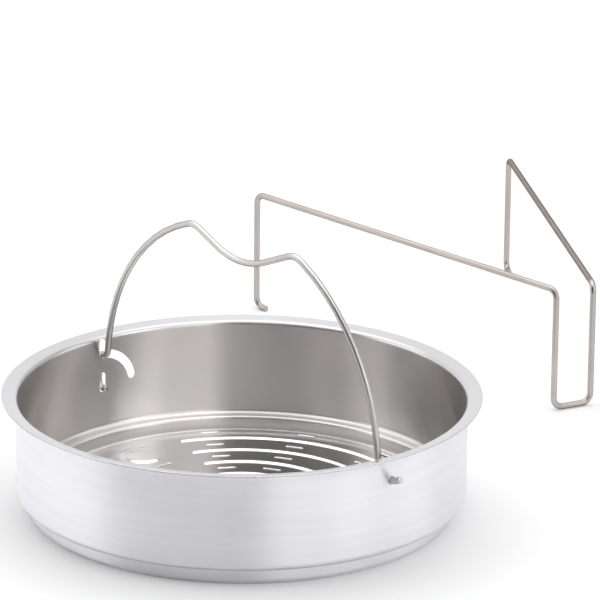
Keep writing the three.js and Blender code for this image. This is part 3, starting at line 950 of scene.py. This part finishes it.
def wire_material(name, colour, roughness):
    """Drawn steel wire: die lines along the wire, soft duller stretches, and a darker tone where the surface
    turns away from the viewer, which is painted shade standing in for the darker surroundings that the wire's
    edges reflect."""
    material, tree, shader = steel_material(name)
    along = add(tree, "UVMap", uv_map="wire").outputs[0]
    axes = add(tree, "SeparateXYZ", {0: along}).outputs
    turned = scaled(tree, axes[0], 2 * math.pi)
    round_x, round_y = (
        scaled(tree, math_node(tree, kind, turned), WIRE_GRAIN_ROUND) for kind in ("COSINE", "SINE")
    )
    stretched = combined(tree, round_x, round_y, scaled(tree, axes[1], WIRE_GRAIN_ALONG))
    grain = grouped(tree, brushed_grain, "Contrast", stretched, WIRE_GRAIN_CONTRAST)
    place = add(tree, "TexCoord").outputs["Object"]
    marks = grouped(tree, handling_marks, "Patch scale", place, WIRE_PATCH_SCALE)
    dark, light = (rgba(colour, tone) for tone in WIRE_GRAIN_TONES)
    tone = mixed(tree, ranged(tree, grain, *WIRE_GRAIN_RANGE), dark, light)
    tone = mixed(tree, scaled(tree, marks, WIRE_PATCH_PART), tone, rgba(colour, WIRE_PATCH_TONE))
    # Painted shade: the colour darkens towards the wire's edges as the surface turns away from the viewer, in
    # place of the dark surroundings they reflect.
    facing = add(tree, "LayerWeight", {"Blend": 0.5}).outputs["Facing"]
    tone = mixed(tree, ranged(tree, facing, *WIRE_EDGE_SHADE_RANGE), tone, rgba(colour, WIRE_EDGE_SHADE_TONE))
    rough = scaled(tree, math_node(tree, "SUBTRACT", grain, 0.5), WIRE_GRAIN_ROUGHNESS, roughness)
    rough = scaled(tree, marks, WIRE_PATCH_ROUGHNESS, rough)
    feed(tree, shader, {"Base Color": tone, "Roughness": rough, "Specular Tint": rgba(colour)})
    return material


# Stage


SPECKLE_SCALE, SPECKLE_TONES = 3.0, (0.99, 1.01)


def table_material(looks):
    """Matt pale table, with white added where it is looked at."""
    material, tree = empty_material("pale_table")
    place = add(tree, "TexCoord").outputs["Object"]
    dark, light = (rgba(looks.table, tone) for tone in SPECKLE_TONES)
    tone = mixed(tree, noise(tree, place, SPECKLE_SCALE, 2.0), dark, light)
    matt = add(tree, "BsdfDiffuse", {"Color": tone})
    camera = add(tree, "LightPath").outputs["Is Camera Ray"]
    white = add(tree, "Emission", {"Strength": 1.0})
    inputs = {0: scaled(tree, camera, looks.lift), 1: matt.outputs[0], 2: white.outputs[0]}
    blend = add(tree, "MixShader", inputs)
    add(tree, "OutputMaterial", {"Surface": blend.outputs[0]})
    return material


TABLE_RADIUS, TABLE_RINGS, TABLE_SIDES = 4.0, 12, 64


def table_piece(looks):
    """The table: a flat polar grid, radius growing as the square of its ring number."""
    sides = TABLE_SIDES
    rings = TABLE_RADIUS * (np.arange(1, TABLE_RINGS + 1) / TABLE_RINGS) ** 2
    d, a = np.meshgrid(rings, even(sides), indexing="ij")
    grid = np.stack((d * np.cos(a), d * np.sin(a), np.zeros_like(d)), axis=2).reshape(-1, 3)
    quads = ring_quads(TABLE_RINGS, sides)[:, ::-1]
    table = new_piece("table", grid, quads.tolist() + [list(range(sides))])
    table.data.materials.append(table_material(looks))


# How bright the room is, by angle in degrees round the set from the viewer's side, and straight above
ROOM_LEVELS = (
    (-180, 1.0), (-82, 1.0), (-58, 0.0), (7, 0.0), (20, 1.1), (29, 1.1), (46, 0.7),
    (76, 0.7), (90, 1.3), (102, 1.3), (116, 0.5), (142, 0.5), (168, 1.0),
)
ABOVE_RANGE, ABOVE_LEVEL = (0.78, 0.97), 0.45


def studio_world(looks):
    """Pale room: white where it is looked at. The light it gives changes round the set, by angle from the
    viewer's side, and is darkest on that side. Straight above it has at least a middling level."""
    world = bpy.data.worlds.new("pale_studio")
    bpy.context.scene.world = world
    world.use_nodes = True
    tree = world.node_tree
    tree.nodes.clear()
    outward = add(tree, "TexCoord").outputs["Generated"]
    axes = add(tree, "SeparateXYZ", {0: outward}).outputs
    round_angle = math_node(tree, "ARCTAN2", axes[0], scaled(tree, axes[1], -1.0))
    levels = add(tree, "ValToRGB", {0: scaled(tree, round_angle, 0.5 / math.pi, 0.5)})
    levels.color_ramp.interpolation = "EASE"
    stops = levels.color_ramp.elements
    stops.remove(stops[0])
    stops[0].position = 1.0
    for degrees, level in ROOM_LEVELS:
        stops.new(degrees / 360 + 0.5).color = (level, level, level, 1.0)
    high = ranged(tree, axes[2], *ABOVE_RANGE, 0.0, ABOVE_LEVEL)
    bright = math_node(tree, "MAXIMUM", levels.outputs[0], high)
    room = mixed(tree, bright, rgba(looks.shade), rgba(looks.room), clamp=False)
    camera = add(tree, "LightPath").outputs["Is Camera Ray"]
    shown = mixed(tree, camera, room, (1.0, 1.0, 1.0, 1.0))
    sky = add(tree, "Background", {"Color": shown, "Strength": 1.0})
    add(tree, "OutputWorld", {"Surface": sky.outputs[0]})


def aimed(name, data, right, up, back, place):
    """A new object for a lamp or camera, from its three axes and its place."""
    holder = bpy.data.objects.new(name, data)
    bpy.context.scene.collection.objects.link(holder)
    axes = np.column_stack((right, up, back, place))
    holder.matrix_world = Matrix(np.vstack((axes, (0, 0, 0, 1))).tolist())
    return holder


# Name, place from the aim, size and power of each lamp
LAMP_AIM = np.array((*BASKET_PLACE, 0.03))
LAMPS = (
    ("overhead_soft_box", (-0.1, 0.3, 1.7), 2.2, 19.0),
    ("left_soft_box", (-1.6, 0.1, 0.7), 1.2, 1.5),
    ("right_soft_box", (1.4, -0.85, 0.85), 0.8, 2.6),
)


def soft_lamp(name, offset, size, power):
    """A square soft box that faces the aim from an offset."""
    lamp = bpy.data.lights.new(name, "AREA")
    lamp.shape, lamp.size, lamp.energy = "SQUARE", size, power
    back = unit(np.array(offset))
    right = unit(np.cross((0.0, 1.0, 0.0), back))
    holder = aimed(name, lamp, right, np.cross(back, right), back, LAMP_AIM + offset)
    holder.visible_camera = False


def photo_camera():
    """Camera that looks down on the set: raised by an angle, then turned a little sideways, up and about
    its own line, so that the basket stands low and left in the picture."""
    raised, sideways, upward, roll = 0.366166, 0.0114531, 0.0412306, -0.0060696
    away = 2.2008347
    right = np.array((1.0, 0.0, 0.0))
    up = np.array((0.0, math.sin(raised), math.cos(raised)))
    ahead = np.array((0.0, math.cos(raised), -math.sin(raised)))
    place = np.array((*BASKET_PLACE, 0.0)) - away * ahead
    right, ahead = spun(right, ahead, sideways)
    up, ahead = spun(up, ahead, upward)
    right, up = spun(right, up, roll)
    data = bpy.data.cameras.new("camera")
    data.lens, data.sensor_width = 300.0, 36.0
    data.clip_start, data.clip_end = 0.1, 50.0
    bpy.context.scene.camera = aimed("camera", data, right, up, -ahead, place)


# Operators


def dress(piece, material, body, node):
    """Gives a piece its material and ties it to the part."""
    piece.data.materials.append(material)
    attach(piece, body)
    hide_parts(node)


class STEAMER_OT_basket(bpy.types.Operator):
    """Press the basket from its round blank"""

    bl_idname = "steamer.basket"
    bl_label = "Steamer basket"

    def execute(self, context):
        settings = context.scene.steamer_set
        piece = basket_piece(settings)
        dress(piece, basket_material(settings.steel), "basket", "steamer_basket")
        return {"FINISHED"}


class STEAMER_OT_bail(bpy.types.Operator):
    """Bend the bail and hang it in the basket's wall"""

    bl_idname = "steamer.bail"
    bl_label = "Wire bail"

    def execute(self, context):
        settings = context.scene.steamer_set
        bail = settings.bail
        line = bail_line(settings)
        piece = wire_piece("bail_wire_bent", *line, bail.wire, (0, 1, 0), bail.heading, BASKET_PLACE)
        material = wire_material("drawn_bail_wire", settings.steel.bail, BAIL_ROUGHNESS)
        dress(piece, material, "bail", "bail_handle")
        return {"FINISHED"}


class STEAMER_OT_stand(bpy.types.Operator):
    """Bend the tripod stand and set it beside the basket"""

    bl_idname = "steamer.stand"
    bl_label = "Tripod stand"

    def execute(self, context):
        settings = context.scene.steamer_set
        stand = settings.stand
        line = stand_line(settings)
        place = np.array(BASKET_PLACE) + np.array(stand.place)
        piece = wire_piece("stand_wire_bent", *line, stand.wire, (0, 0, 1), stand.heading, place)
        material = wire_material("drawn_stand_wire", settings.steel.stand, STAND_ROUGHNESS)
        dress(piece, material, "stand", "tripod_stand")
        return {"FINISHED"}


class STEAMER_OT_stage(bpy.types.Operator):
    """Set up the pale table, the studio light and the camera"""

    bl_idname = "steamer.stage"
    bl_label = "Studio stage"

    def execute(self, context):
        looks = context.scene.steamer_set.stage
        context.scene.view_settings.view_transform = "Standard"
        table_piece(looks)
        studio_world(looks)
        for lamp in LAMPS:
            soft_lamp(*lamp)
        photo_camera()
        return {"FINISHED"}


class STEAMER_PT_set(bpy.types.Panel):
    """Steamer set in the sidebar"""

    bl_idname = "STEAMER_PT_set"
    bl_label = "Steamer set"
    bl_space_type = "VIEW_3D"
    bl_region_type = "UI"
    bl_category = "Steamer"

    def draw(self, context):
        settings = context.scene.steamer_set
        for operator in OPERATORS:
            self.layout.operator(operator.bl_idname)
        for part in settings.__annotations__:
            box = self.layout.box()
            box.label(text=part.capitalize())
            held = getattr(settings, part)
            for name in held.__annotations__:
                box.prop(held, name)


SETTINGS = (BasketSizes, FloorPattern, BailSizes, StandSizes, SteelLooks, StageLooks, SteamerSettings)
OPERATORS = (STEAMER_OT_basket, STEAMER_OT_bail, STEAMER_OT_stand, STEAMER_OT_stage)
CLASSES = (*SETTINGS, *OPERATORS, STEAMER_PT_set)


def register():
    for kind in CLASSES:
        bpy.utils.register_class(kind)
    bpy.types.Scene.steamer_set = PointerProperty(type=SteamerSettings)


def unregister():
    del bpy.types.Scene.steamer_set
    for kind in reversed(CLASSES):
        bpy.utils.unregister_class(kind)


def main():
    """Builds every piece and the stage."""
    register()
    bpy.ops.steamer.basket()
    bpy.ops.steamer.bail()
    bpy.ops.steamer.stand()
    bpy.ops.steamer.stage()


if __name__ == "__main__":
    main()
